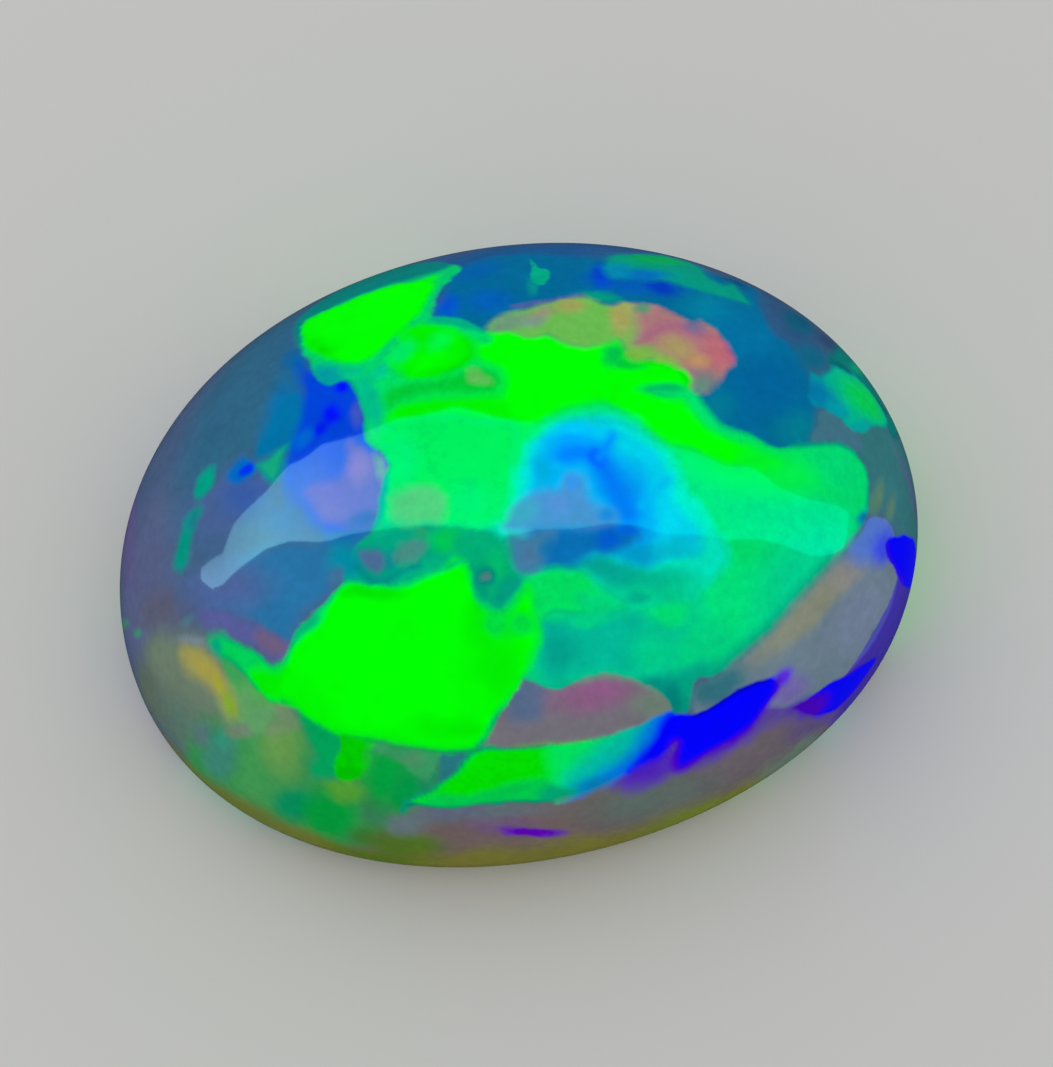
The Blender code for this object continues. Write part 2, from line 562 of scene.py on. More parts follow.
lower_chip = [
    (184, 520), (192, 508), (204, 508), (200, 523), (195, 535), (191, 550), (188, 561), (181, 572),
    (174, 564), (176, 545), (181, 530)]
ground.pane(lower_chip, (0, 146, 126), edge=(30, 126, 130), softness=0.25)
ground.wash((193, 521), (10, 16), -20, (22, 128, 138))
olive_wedge = [
    (286, 703), (294, 711), (301, 722), (298, 732), (284, 731), (268, 734), (271, 722), (279, 712)]
ground.pane(olive_wedge, (112, 136, 104), softness=0.35, strength=0.7)
green_wedge = [
    (242, 689), (262, 705), (277, 712), (271, 722), (262, 733), (256, 734), (247, 722), (239, 712)]
ground.pane(green_wedge, (92, 156, 98), softness=0.25, strength=0.8)
look = ground.over(look)

# Small chips of other colours over them: thin flakes between the large patches, which show as slivers and
# specks.
chips = Layer("chips")
steel_sliver = [
    (252, 462), (257, 445), (268, 430), (276, 412), (288, 396), (298, 393), (298, 420), (286, 446),
    (268, 456)]
chips.pane(steel_sliver, (0, 112, 164), softness=0.3)
blue_dot = [(227, 479), (233, 465), (244, 457), (255, 462), (257, 472), (248, 481), (236, 487)]
chips.pane(blue_dot, (0, 104, 190), softness=0.25)
chips.wash((246, 471), (10, 6), 35, (0, 48, 238), core=0.4)
dusky_chip = [(758, 298), (772, 288), (783, 302), (784, 322), (778, 336), (768, 324)]
chips.pane(dusky_chip, (46, 86, 128), softness=0.35, strength=0.7)
dark_fringe = [
    (830, 364), (834, 347), (848, 338), (880, 366), (908, 420), (897, 438), (888, 428), (884, 412),
    (872, 397), (860, 383), (848, 374)]
chips.pane(dark_fringe, (0, 124, 118), edge=(0, 106, 118), softness=0.3)
chips.trace([
    (830, 366), (840, 364), (851, 374), (866, 388), (886, 412)], (0, 104, 106), reach=0.12, softness=0.2)
chips.wash((857, 368), (11, 6), -48, (0, 160, 124))
grey_corner = [
    (820, 409), (832, 411), (846, 421), (858, 432), (864, 448), (850, 452), (836, 442), (811, 442),
    (816, 424)]
chips.pane(grey_corner, (62, 112, 130), softness=0.12)
top_speck = [(530, 260), (538, 268), (548, 270), (550, 277), (541, 285), (532, 281), (533, 270)]
chips.pane(top_speck, (0, 165, 130), softness=0.1)
teal_block = [
    (296, 706), (320, 714), (346, 724), (344, 755), (340, 777), (315, 779), (307, 765), (315, 755),
    (305, 740)]
chips.pane(teal_block, (0, 160, 88), edge=(30, 148, 100), softness=0.25)
teal_patch = [
    (440, 746), (455, 744), (474, 746), (476, 758), (462, 774), (446, 788), (440, 781), (440, 765)]
chips.pane(teal_patch, (38, 116, 126), softness=0.15)
teal_wedge = [(420, 800), (422, 776), (434, 752), (440, 758), (441, 780), (445, 792), (430, 803)]
chips.pane(teal_wedge, (14, 134, 90), softness=0.3, strength=0.85)
violet_hair = [(511, 305), (530, 301), (560, 296), (586, 294), (572, 301), (545, 306), (520, 307)]
chips.pane(violet_hair, (76, 92, 160), softness=0.15)
look = chips.over(look)

# The great green sheet that runs through the middle of the stone, and the teal flashes level with it at the
# top, on the left and at the right limb.
sheet = Layer("sheet")
great_sheet = [
    (370, 532), (376, 515), (379, 498), (385, 478), (390, 463), (380, 452), (367, 438), (363, 420),
    (360, 404), (354, 391), (346, 380), (330, 384), (316, 378), (308, 360), (330, 350), (385, 340),
    (412, 322), (432, 317), (450, 317), (468, 320), (482, 328), (500, 332), (530, 331), (556, 335),
    (600, 341), (622, 350), (645, 356), (676, 362), (692, 370), (695, 386), (704, 400), (716, 415),
    (728, 424), (748, 431), (764, 439), (778, 446), (800, 443), (825, 441), (845, 444), (858, 453),
    (866, 466), (869, 485), (869, 505), (866, 522), (856, 536), (847, 550), (833, 566), (817, 584),
    (800, 602), (783, 620), (766, 637), (748, 652), (732, 664), (716, 676), (698, 681), (693, 698),
    (690, 712), (676, 715), (664, 720), (655, 700), (632, 684), (600, 680), (568, 688), (552, 692),
    (520, 682), (480, 660), (400, 620), (350, 590), (345, 572), (352, 552), (362, 538)]
sheet.pane(great_sheet, (0, 216, 104), edge=(0, 150, 128), edge_width=0.22, softness=0.14)
sheet.washes(
    ((480, 440), (130, 90), 0, (0, 232, 60), 0.4),
    ((760, 470), (90, 34), -18, (0, 234, 74), 0.3),
    ((815, 520), (60, 34), 0, (0, 214, 120), 0.3),
    ((846, 470), (36, 30), -40, (0, 216, 116)),
    ((864, 519), (7, 11), 0, (0, 112, 176)),
    ((790, 585), (90, 40), 45, (0, 205, 140)),
    ((720, 600), (60, 45), 30, (0, 220, 122)),
)
sheet.cloud([
    (535, 600), (560, 612), (610, 612), (650, 600), (690, 590), (700, 625), (680, 680), (655, 700),
    (632, 684), (600, 680), (568, 688), (552, 692), (536, 680), (530, 640)], (0, 180, 148), softness=0.9)
sheet.washes(
    ((668, 612), (32, 20), 0, (0, 216, 114), 0.3),
    ((550, 618), (18, 9), 0, (0, 206, 114)),
    ((592, 620), (26, 8), 0, (0, 200, 128)),
    ((557, 648), (20, 26), 0, (0, 160, 140)),
    ((655, 654), (30, 30), 0, (0, 200, 136)),
    ((704, 646), (38, 30), 30, (0, 206, 128), 0.3),
    ((694, 672), (24, 12), 25, (0, 176, 140)),
    ((650, 686), (18, 14), 0, (0, 146, 126)),
    ((676, 700), (26, 28), 0, (0, 128, 120), 0.3),
)
sheet.trace([
    (690, 690), (697, 682), (716, 676), (732, 664), (766, 637), (800, 602), (833, 566)],
    (0, 160, 128), reach=0.26, softness=0.5)
sheet.trace([
    (768, 443), (800, 444), (825, 442), (845, 446), (858, 455), (866, 468), (870, 485), (870, 505)],
    (0, 132, 124))
sheet.trace([(386, 478), (381, 500), (377, 520)], (0, 166, 152), reach=0.1, softness=0.2)
sheet.washes(
    ((370, 400), (40, 13), -70, (0, 184, 134), 0.3),
    ((378, 368), (20, 14), 20, (0, 198, 140)),
    ((455, 321), (38, 8), -6, (0, 172, 128), 0.4),
)
sheet.cloud([
    (352, 540), (372, 531), (400, 524), (430, 522), (470, 526), (510, 534), (527, 556), (524, 600),
    (500, 612), (470, 600), (400, 588), (350, 582)], (0, 162, 126), softness=0.4)
sheet.washes(
    ((446, 542), (24, 16), 0, (0, 192, 84), 0.3),
    ((421, 534), (9, 8), 0, (46, 164, 96), 0.2, 0.6),
    ((350, 562), (18, 20), 0, (0, 138, 160)),
    ((422, 570), (34, 10), 18, (0, 174, 122)),
    ((391, 560), (8, 14), 0, (0, 136, 140)),
)
sheet.trace([(358, 566), (370, 580), (386, 580), (402, 572), (418, 565)], (0, 132, 130), reach=0.06)
sheet.wash((462, 560), (26, 8), 25, (0, 216, 70))
sheet.cloud([
    (384, 401), (400, 388), (430, 382), (460, 373), (480, 366), (496, 372), (501, 385), (496, 393),
    (460, 390), (430, 393), (405, 401), (390, 409)], (0, 200, 52), softness=0.35)
left_sliver = [
    (254, 464), (266, 459), (278, 447), (289, 442), (285, 458), (281, 472), (274, 483), (266, 479),
    (258, 471)]
sheet.pane(left_sliver, (20, 164, 122), edge=(0, 134, 144), softness=0.25)
top_flash = [
    (604, 272), (604, 260), (612, 254), (640, 253), (662, 255), (682, 260), (700, 267), (711, 278),
    (722, 284), (732, 283), (741, 291), (752, 305), (738, 303), (722, 298), (704, 294), (686, 288),
    (668, 283), (645, 281), (625, 280), (610, 278)]
sheet.pane(top_flash, (0, 152, 130), edge=(0, 126, 146), softness=0.4)
sheet.washes(
    ((656, 259), (36, 6), -8, (0, 170, 92), 0.3),
    ((642, 274), (36, 8), -4, (0, 114, 192)),
    ((618, 270), (15, 11), 0, (0, 136, 178)),
    ((719, 289), (13, 8), -20, (0, 154, 128)),
)
right_flash = [
    (809, 374), (820, 376), (829, 370), (836, 366), (846, 371), (857, 377), (868, 389), (878, 403),
    (887, 419), (886, 427), (872, 429), (862, 433), (850, 429), (838, 418), (824, 411), (810, 402)]
sheet.pane(right_flash, (0, 178, 138), edge=(0, 134, 144), edge_width=0.15, softness=0.16)
sheet.washes(
    ((820, 394), (32, 20), -50, (0, 120, 166)),
    ((838, 408), (16, 12), -40, (0, 150, 164)),
    ((864, 399), (32, 17), -52, (0, 206, 88), 0.3),
    ((858, 428), (20, 9), 0, (0, 160, 156)),
)
grey_wedge = [
    (367, 740), (385, 742), (400, 748), (430, 750), (439, 752), (437, 765), (428, 779), (420, 776),
    (408, 769), (395, 761), (380, 753)]
sheet.pane(grey_wedge, (54, 150, 95), softness=0.2)
sheet.wash((412, 760), (18, 8), -10, (72, 142, 96))
look = sheet.over(look)

# The brighter panes on the sheet, where it comes nearest to the surface, and the teal surround of the upper
# left flash.
bright = Layer("bright")
bright_crest = [
    (462, 350), (476, 338), (500, 326), (530, 328), (548, 332), (565, 338), (590, 338), (614, 332),
    (632, 350), (650, 356), (668, 358), (686, 366), (697, 379), (690, 388), (672, 391), (660, 390),
    (654, 392), (664, 395), (684, 400), (696, 413), (708, 425), (728, 434), (748, 442), (770, 452),
    (782, 464), (764, 474), (744, 470), (718, 466), (690, 453), (665, 443), (640, 428), (620, 413),
    (600, 406), (570, 410), (545, 423), (530, 430), (512, 424), (504, 413), (499, 397), (502, 385),
    (500, 372), (478, 362)]
bright.pane(bright_crest, (0, 253, 0), edge=(0, 230, 48), edge_width=0.25, softness=0.25)
bright.soften([(690, 453), (718, 466), (744, 470), (770, 470), (780, 460), (760, 446)], 0.6)
bright.washes(
    ((762, 460), (26, 12), -25, (0, 240, 40)),
    ((482, 338), (10, 7), 0, (0, 208, 96)),
    ((712, 414), (32, 12), -38, (0, 214, 100), 0.3),
    ((628, 366), (20, 6), 0, (0, 205, 50)),
    ((615, 356), (14, 17), 0, (0, 194, 72)),
)
bright.trace([(622, 354), (650, 362), (670, 366), (684, 376), (690, 386)], (0, 208, 0), reach=0.04)
bright.wash((664, 390), (28, 8), -8, (0, 182, 96), core=0.3)
bright_step = [
    (385, 421), (392, 408), (410, 400), (440, 396), (470, 395), (515, 396), (525, 412), (521, 424),
    (500, 425), (470, 421), (450, 419), (420, 425), (400, 430)]
bright.pane(bright_step, (0, 242, 0), edge=(0, 226, 40), softness=0.3)
teal_surround = [
    (297, 345), (295, 328), (306, 312), (332, 294), (366, 278), (400, 267), (430, 262), (459, 266),
    (450, 279), (440, 292), (434, 304), (431, 318), (420, 328), (412, 338), (398, 349), (384, 362),
    (366, 376), (346, 379), (330, 384), (317, 377), (309, 360)]
bright.pane(teal_surround, (0, 204, 104), softness=0.2)
bright.wash((407, 334), (20, 12), -35, (0, 238, 14), core=0.5)
bright.cloud([
    (290, 350), (286, 325), (300, 300), (360, 268), (420, 250), (468, 252), (456, 264), (424, 275),
    (388, 286), (348, 301), (322, 315), (303, 332), (301, 348)], (0, 128, 124), softness=0.4)
bright.trace([(296, 318), (320, 298), (360, 276), (400, 262), (440, 258)], (44, 104, 122), softness=0.5)
bright.washes(
    ((326, 375), (24, 13), -10, (0, 154, 158), 0.4),
    ((352, 372), (16, 7), 0, (0, 190, 134)),
    ((449, 273), (18, 8), 45, (0, 194, 106)),
)
mint_lobe = [
    (515, 584), (535, 570), (555, 566), (575, 567), (592, 575), (609, 588), (623, 600), (624, 607),
    (600, 611), (575, 613), (556, 612), (544, 622), (536, 645), (515, 640)]
bright.pane(mint_lobe, (0, 218, 94), edge=(0, 190, 112), edge_width=0.12, softness=0.14)
bright.wash((600, 604), (34, 14), -20, (0, 204, 118))
grey_cell = [
    (394, 559), (395, 552), (401, 545), (411, 541), (422, 542), (424, 550), (417, 556), (408, 559),
    (400, 562)]
bright.pane(grey_cell, (66, 136, 126), softness=0.3)
look = bright.over(look)

# The clear green of the upper left, the swirl with its small cells, and the middle of the green under the
# window's reflection.
band = Layer("band")
swirl = [
    (392, 350), (402, 334), (418, 322), (436, 323), (454, 328), (467, 335), (477, 346), (476, 360),
    (462, 371), (445, 379), (425, 383), (405, 381), (391, 371), (387, 360)]
band.pane(swirl, (0, 238, 0), edge=(0, 224, 50), softness=0.3)
band.washes(
    ((438, 343), (16, 13), 30, (0, 240, 70), 0),
    ((400, 353), (20, 11), 30, (0, 224, 104), 0),
)
band.trace([(466, 340), (471, 352), (462, 364), (448, 372)], (0, 216, 8), softness=0.3)
band.washes(
    ((392, 378), (16, 12), 30, (0, 216, 60)),
    ((430, 362), (26, 10), 10, (0, 250, 0)),
)
lit_green = [
    (384, 431), (400, 421), (440, 415), (480, 420), (512, 424), (518, 440), (512, 470), (508, 495),
    (500, 515), (480, 524), (440, 522), (436, 500), (420, 488), (404, 488), (396, 501), (391, 511),
    (392, 482), (397, 468), (389, 452), (380, 441)]
band.pane(lit_green, (0, 222, 46), edge=(0, 222, 80), softness=0.4)
band.washes(
    ((400, 460), (24, 40), 0, (0, 226, 84)),
    ((470, 500), (34, 26), 0, (0, 222, 76)),
)
upper_left_flash = [
    (300, 330), (308, 320), (322, 313), (340, 305), (360, 296), (380, 290), (400, 283), (420, 280),
    (437, 275), (438, 283), (432, 293), (426, 303), (418, 316), (406, 327), (396, 336), (386, 345),
    (376, 353), (364, 361), (350, 364), (335, 362), (322, 358), (311, 352), (303, 343)]
band.pane(upper_left_flash, (0, 254, 0), edge=(0, 236, 20), edge_width=0.2, softness=0.2)
band.washes(
    ((440, 277), (10, 8), 40, (0, 226, 60)),
    ((320, 346), (30, 13), -25, (0, 228, 0), 0),
)
knot = [
    (456, 540), (475, 535), (500, 537), (512, 552), (516, 568), (524, 580), (515, 594), (505, 603),
    (495, 606), (484, 600), (476, 589), (471, 578), (466, 563), (458, 556), (458, 548)]
band.pane(knot, (0, 168, 114), softness=0.35)
band.trace([(470, 572), (476, 585), (482, 593)], (0, 148, 114), reach=0.1)
band.trace([(500, 598), (510, 591), (520, 580)], (0, 150, 124), reach=0.1)
band.washes(
    ((497, 566), (12, 18), 0, (0, 184, 106)),
    ((510, 584), (14, 10), 30, (0, 152, 124)),
    ((485, 576), (13, 12), 0, (0, 132, 122), 0.5),
    ((485, 576), (7, 6), 0, (80, 124, 122), 0.2),
)
blue_cell = [
    (357, 549), (368, 546), (381, 548), (387, 557), (386, 568), (379, 576), (370, 574), (362, 566)]
band.pane(blue_cell, (72, 108, 148), edge=(24, 118, 142), edge_width=0.12, softness=0.25)
look = band.over(look)

# The azure dome in the middle of the green, with its dark blue heart and its ray, and the grey blue veil
# that lies across it, which is a painted reflection of the window.
azure = Layer("azure")
azure_dome = [
    (497, 530), (506, 518), (511, 500), (514, 478), (518, 458), (528, 440), (544, 426), (566, 416),
    (590, 410), (610, 410), (628, 416), (644, 429), (660, 443), (673, 456), (681, 472), (688, 490),
    (700, 508), (716, 526), (728, 545), (728, 562), (712, 580), (690, 594), (660, 604), (634, 606),
    (612, 596), (596, 580), (580, 570), (560, 568), (535, 569), (523, 571), (515, 560), (511, 545)]
azure.pane(azure_dome, (0, 220, 182), softness=0.4)
azure.trace([
    (511, 540), (514, 556), (523, 570), (545, 569), (575, 567)], (0, 126, 130), reach=0.1, softness=0.3)
azure.trace([(534, 436), (566, 416), (600, 409), (630, 418)], (0, 236, 140), softness=0.3)
azure.washes(
    ((655, 590), (72, 20), 6, (0, 196, 140)),
    ((640, 578), (50, 14), 4, (0, 178, 142)),
    ((638, 600), (16, 8), 0, (0, 172, 134)),
    ((604, 568), (40, 14), -15, (0, 160, 142)),
)
azure.cloud([
    (518, 535), (521, 500), (526, 470), (534, 450), (547, 434), (564, 424), (590, 420), (614, 421),
    (632, 430), (648, 444), (661, 460), (670, 480), (676, 500), (690, 520), (702, 540), (690, 551),
    (664, 558), (636, 562), (610, 554), (580, 556), (540, 560)], (0, 192, 222), softness=0.5)
azure.wash((648, 484), (34, 22), -60, (0, 180, 222))
azure.cloud([
    (530, 520), (533, 480), (541, 458), (553, 443), (570, 435), (590, 433), (606, 438), (620, 450),
    (636, 466), (647, 484), (654, 505), (656, 530), (644, 550), (600, 552), (560, 550)],
    (0, 156, 232), softness=0.5)
azure.washes(
    ((543, 474), (14, 24), 0, (0, 150, 212)),
    ((580, 431), (34, 10), 4, (0, 182, 243)),
    ((574, 442), (34, 10), 4, (0, 144, 245)),
    ((622, 494), (40, 26), -55, (0, 120, 228)),
    ((576, 453), (28, 10), 4, (0, 100, 245)),
)
azure.trace([
    (596, 456), (603, 467), (611, 480), (618, 492), (628, 512)], (0, 78, 232), reach=0.24, softness=0.5)
azure.wash((597, 456), (13, 8), -52, (2, 0, 243), core=0.3)
azure.trace([(600, 456), (606, 447), (613, 435)], (0, 116, 245), reach=0.1, softness=0.3)
azure.trace([(668, 478), (655, 492), (642, 505)], (0, 158, 222), softness=0.3, strength=0.8)
# The grey blue veil: a painted reflection of the window, greyer over the azure.
azure.cloud([
    (503, 532), (507, 518), (518, 504), (530, 495), (546, 492), (561, 490), (567, 476), (575, 470),
    (583, 475), (587, 488), (592, 502), (604, 508), (616, 512), (617, 524), (600, 530), (550, 533)],
    (70, 114, 192), softness=0.4)
azure.washes(
    ((522, 514), (20, 16), 35, (60, 140, 178)),
    ((560, 505), (15, 12), 0, (80, 110, 195)),
    ((575, 480), (8, 13), 0, (50, 116, 216)),
    ((606, 514), (15, 8), 0, (26, 100, 207)),
)
azure.cloud([
    (530, 531), (575, 530), (612, 525), (640, 529), (632, 546), (614, 557), (594, 556), (576, 568),
    (550, 572), (526, 568)], (6, 108, 176), softness=0.4)
azure.washes(
    ((610, 539), (18, 17), 0, (0, 90, 202)),
    ((629, 528), (12, 7), 0, (0, 96, 214), 0.3),
    ((640, 555), (26, 15), 0, (0, 150, 198)),
    ((676, 550), (28, 13), 0, (0, 182, 200)),
)
look = azure.over(look)

# The lime and pink lobes of the upper right, the mauve lens and the grey zone at the right, with the small
# panes that are level with them.
pale = Layer("pale")
lime_and_pink_lobes = [
    (484, 326), (500, 317), (520, 310), (545, 302), (565, 298), (585, 297), (600, 302), (613, 304),
    (625, 302), (640, 304), (655, 305), (667, 309), (678, 313), (687, 319), (694, 322), (702, 321),
    (713, 328), (725, 338), (731, 349), (734, 361), (728, 371), (722, 381), (714, 388), (705, 393),
    (697, 391), (692, 387), (693, 380), (688, 373), (680, 369), (668, 364), (652, 362), (636, 363),
    (626, 360), (622, 350), (618, 340), (610, 343), (600, 346), (585, 347), (565, 344), (555, 338),
    (545, 335), (530, 338), (510, 333), (494, 332)]
pale.pane(lime_and_pink_lobes, (104, 184, 80), edge=(92, 156, 96), edge_width=0.12, softness=0.25)
pale.washes(
    ((505, 323), (28, 11), 20, (106, 150, 116), 0.3),
    ((540, 313), (22, 10), 15, (146, 140, 116), 0),
    ((529, 321), (20, 8), 10, (118, 148, 132), 0),
    ((570, 305), (20, 11), 0, (158, 156, 90), 0),
)
pale.cloud([
    (632, 290), (650, 290), (695, 310), (748, 350), (738, 388), (705, 404), (682, 392), (678, 366),
    (655, 350), (640, 345), (632, 325)], (166, 118, 120), softness=0.6)
pale.washes(
    ((620, 316), (15, 22), -5, (164, 160, 92)),
    ((641, 308), (12, 8), 0, (92, 146, 114)),
)
pale.trace([
    (637, 343), (655, 332), (670, 325), (690, 331), (712, 338)],
    (162, 96, 126), reach=0.14, softness=0.4, strength=0.8)
pale.washes(
    ((697, 328), (16, 10), -30, (118, 106, 144), 0),
    ((680, 350), (30, 14), -22, (164, 146, 98)),
    ((640, 352), (22, 10), -8, (122, 182, 72)),
    ((666, 362), (22, 6), -18, (128, 178, 74)),
    ((717, 354), (20, 24), 25, (184, 106, 116)),
    ((730, 352), (9, 16), 20, (180, 90, 128)),
    ((698, 363), (14, 10), 0, (184, 140, 98), 0),
    ((710, 382), (22, 11), -25, (124, 120, 126)),
    ((700, 387), (14, 10), 20, (98, 138, 124)),
)
lime_cell = [
    (464, 377), (467, 370), (475, 368), (485, 373), (493, 381), (489, 386), (478, 385), (466, 384)]
pale.pane(lime_cell, (92, 186, 86), softness=0.25)
pale_square = [
    (389, 502), (393, 492), (408, 485), (425, 484), (437, 490), (443, 500), (444, 512), (438, 522),
    (420, 524), (402, 524), (392, 518)]
pale.pane(pale_square, (84, 182, 96), softness=0.35, strength=0.9)
# The corner of the grey blue veil, a painted reflection of the window.
veil_corner_painted_reflection = [
    (511, 538), (530, 534), (552, 532), (552, 546), (546, 558), (540, 567), (530, 571), (518, 568),
    (511, 553)]
pale.pane(veil_corner_painted_reflection, (60, 122, 160), softness=0.3)
pale.washes(
    ((528, 556), (12, 14), 0, (70, 118, 156)),
    ((548, 548), (12, 18), 0, (22, 112, 168)),
)
mauve_lens = [
    (474, 749), (486, 730), (500, 708), (510, 692), (522, 679), (540, 686), (552, 690), (562, 688),
    (572, 683), (596, 676), (616, 675), (637, 681), (657, 692), (671, 706), (669, 715), (650, 724),
    (613, 736), (579, 742), (528, 748), (500, 749)]
pale.pane(mauve_lens, (114, 110, 120), edge=(70, 136, 132), edge_width=0.1, softness=0.12)
pale.washes(
    ((525, 700), (28, 24), 35, (84, 104, 136), 0.4),
    ((592, 694), (54, 22), 6, (134, 92, 128)),
    ((602, 687), (26, 12), 5, (138, 88, 132), 0),
    ((656, 708), (28, 18), -20, (106, 124, 112)),
)
pale.trace([
    (572, 683), (596, 676), (616, 675), (637, 681), (657, 692)],
    (102, 142, 118), reach=0.05, softness=0.2)
pale.trace([(515, 747), (545, 745), (570, 743), (588, 741)], (98, 148, 82), reach=0.06, softness=0.2)
grey_zone = [
    (862, 530), (868, 519), (882, 518), (894, 532), (894, 555), (897, 575), (892, 594), (881, 618),
    (868, 641), (848, 672), (826, 692), (806, 706), (786, 712), (765, 712), (745, 716), (720, 720),
    (705, 722), (694, 714), (693, 697), (697, 683), (716, 676), (733, 660), (757, 642), (787, 612),
    (817, 578), (838, 556)]
pale.pane(grey_zone, (104, 124, 138), edge=(112, 118, 148), edge_width=0.2, softness=0.08)
upper_border = [
    (692, 712), (692, 684), (716, 676), (733, 661), (757, 643), (787, 613), (817, 579), (838, 557),
    (862, 530)]
pale.soften(upper_border, 0.3)
pale.washes(
    ((812, 608), (85, 17), 45, (130, 135, 118), 0.3),
    ((848, 576), (22, 13), 45, (132, 132, 130)),
    ((862, 618), (50, 22), 62, (112, 126, 150)),
    ((872, 536), (32, 24), 60, (80, 116, 200), 0.4),
    ((884, 546), (24, 12), 80, (58, 74, 222)),
    ((718, 687), (36, 20), 28, (50, 110, 124), 0.4),
)
pale.trace(upper_border, (64, 142, 122), softness=0.35, strength=0.8)
pale.washes(
    ((788, 690), (26, 16), 35, (112, 102, 168), 0.4),
    ((783, 676), (15, 9), 55, (90, 44, 220)),
)
green_square = [
    (338, 722), (339, 745), (337, 762), (337, 777), (350, 780), (363, 777), (366, 760), (368, 735)]
pale.pane(green_square, (0, 198, 0), softness=0.16)
pale.soften([(367, 738), (367, 757), (364, 775)], 0.5)
pale.wash((350, 773), (20, 9), 0, (0, 184, 0))
look = pale.over(look)

# The violet skirt of the ultramarine flashes: the haze below them, where the blue patches run out deeper in
# the stone.
skirt = Layer("skirt")
violet_skirt = [
    (612, 786), (628, 768), (650, 752), (670, 744), (676, 758), (700, 750), (730, 733), (752, 714),
    (768, 708), (784, 706), (802, 702), (814, 708), (804, 717), (782, 723), (757, 732), (725, 751),
    (695, 767), (678, 772), (664, 780), (648, 786), (628, 788)]
skirt.pane(violet_skirt, (80, 40, 178), softness=0.6, strength=0.9)
skirt.soften([(766, 708), (784, 706), (802, 702)], 0.2)
skirt.washes(
    ((644, 770), (28, 11), 18, (74, 12, 190)),
    ((788, 720), (34, 16), 20, (86, 66, 152), 0.4),
)
look = skirt.over(look)

# The lower strip, which runs from green to blue as its patch of the stone leans more and more away from the
# eye.
strip = Layer("strip")
lower_strip = [
    (402, 803), (415, 797), (432, 790), (445, 779), (458, 768), (470, 754), (485, 748), (510, 746),
    (535, 745), (560, 743), (590, 740), (615, 733), (640, 724), (658, 716), (672, 712), (684, 722),
    (676, 738), (660, 752), (645, 763), (627, 774), (605, 786), (588, 793), (570, 800), (545, 802),
    (510, 803), (480, 806), (455, 809), (430, 808), (414, 806), (405, 815), (399, 812)]
strip.pane(lower_strip, (0, 222, 0), edge=(0, 150, 100), edge_width=0.14, softness=0.16)
strip.soften([(560, 800), (588, 795), (605, 788), (625, 779), (645, 772)], 0.4)
strip.cloud([
    (430, 797), (470, 794), (500, 788), (545, 779), (560, 800), (500, 815), (420, 815)], (0, 198, 76))
strip.wash((404, 808), (11, 9), 0, (0, 146, 112), core=0.4)
strip.cloud([
    (549, 735), (600, 725), (640, 720), (620, 790), (560, 815), (553, 790), (549, 760)],
    (0, 222, 90), softness=0.6)
strip.cloud([
    (642, 706), (690, 700), (690, 740), (620, 800), (560, 815), (560, 792), (570, 770), (600, 746)],
    (0, 182, 164), softness=0.8)
strip.wash((552, 794), (16, 8), 5, (0, 164, 106))
strip.trace([
    (552, 803), (510, 804), (480, 807), (455, 810), (430, 809), (412, 807)],
    (0, 124, 112), reach=0.1, softness=0.16)
strip.cloud([
    (658, 706), (690, 700), (690, 750), (620, 805), (566, 812), (576, 794), (606, 770), (636, 744)],
    (0, 112, 224), softness=0.6)
strip.cloud([
    (668, 712), (690, 708), (690, 760), (630, 790), (622, 780), (640, 757), (656, 736)],
    (0, 40, 248), softness=0.4)
strip.washes(
    ((592, 788), (30, 10), 18, (0, 124, 180)),
    ((558, 796), (22, 8), 5, (0, 160, 114)),
)
look = strip.over(look)

# The ultramarine flashes along the lower right limb with their violet borders, the violet dash at the
# bottom, and the tail that joins the leaf-green flash from the left.
ultra = Layer("ultra")
middle_flash = [
    (638, 758), (650, 744), (660, 729), (668, 718), (680, 715), (697, 714), (710, 707), (722, 699),
    (737, 691), (752, 684), (765, 679), (775, 676), (780, 679), (779, 690), (771, 702), (765, 711),
    (757, 723), (745, 734), (733, 743), (718, 751), (703, 759), (690, 766), (680, 771), (674, 768),
    (672, 757), (675, 744), (668, 751), (658, 759), (646, 764), (634, 769), (628, 772)]
ultra.pane(middle_flash, (0, 0, 254), softness=0.12)
for border, reach in (
    ([(630, 767), (638, 757), (652, 742), (664, 722)], 0),
    ([(634, 770), (646, 765), (658, 760), (668, 753)], 0.04),
    ([(674, 746), (672, 757), (674, 768), (680, 772), (690, 767), (703, 760), (718, 752), (733, 744),
      (746, 735), (758, 724), (766, 712), (772, 703), (780, 690), (781, 678)], 0.16),
):
    ultra.soften(border, 0.35)
    if reach:
        ultra.trace(border, (74, 0, 184), reach=reach, softness=0.3)
ultra.trace([
    (697, 714), (710, 707), (722, 699), (737, 691), (752, 684), (765, 679)],
    (0, 0, 176), reach=0.1, softness=0.2)
lower_flash = [
    (876, 655), (876, 661), (864, 679), (853, 693), (843, 704), (833, 713), (822, 716), (809, 716),
    (796, 714), (788, 711), (796, 702), (808, 695), (820, 688), (832, 681), (846, 675), (860, 666)]
ultra.pane(lower_flash, (0, 0, 250), edge=(52, 0, 206), edge_width=0.1, softness=0.14)
ultra.trace([(876, 661), (864, 679), (853, 693), (843, 704), (833, 713)], (84, 0, 214), softness=0.2)
ultra.soften([(806, 695), (788, 706), (788, 717), (806, 722), (826, 721)], 0.5)
ultra.wash((806, 706), (26, 13), 10, (70, 0, 186), core=0.4)
upper_flash = [
    (886, 540), (897, 537), (908, 536), (914, 541), (916, 556), (914, 572), (910, 588), (903, 585),
    (895, 572), (887, 558)]
ultra.pane(upper_flash, (0, 0, 254), softness=0.12)
ultra.trace([(887, 542), (889, 557), (896, 571), (904, 585)], (44, 0, 226), reach=0.08, softness=0.2)
violet_dash = [
    (502, 828), (516, 827), (535, 829), (553, 830), (566, 833), (553, 837), (535, 837), (518, 837),
    (506, 834)]
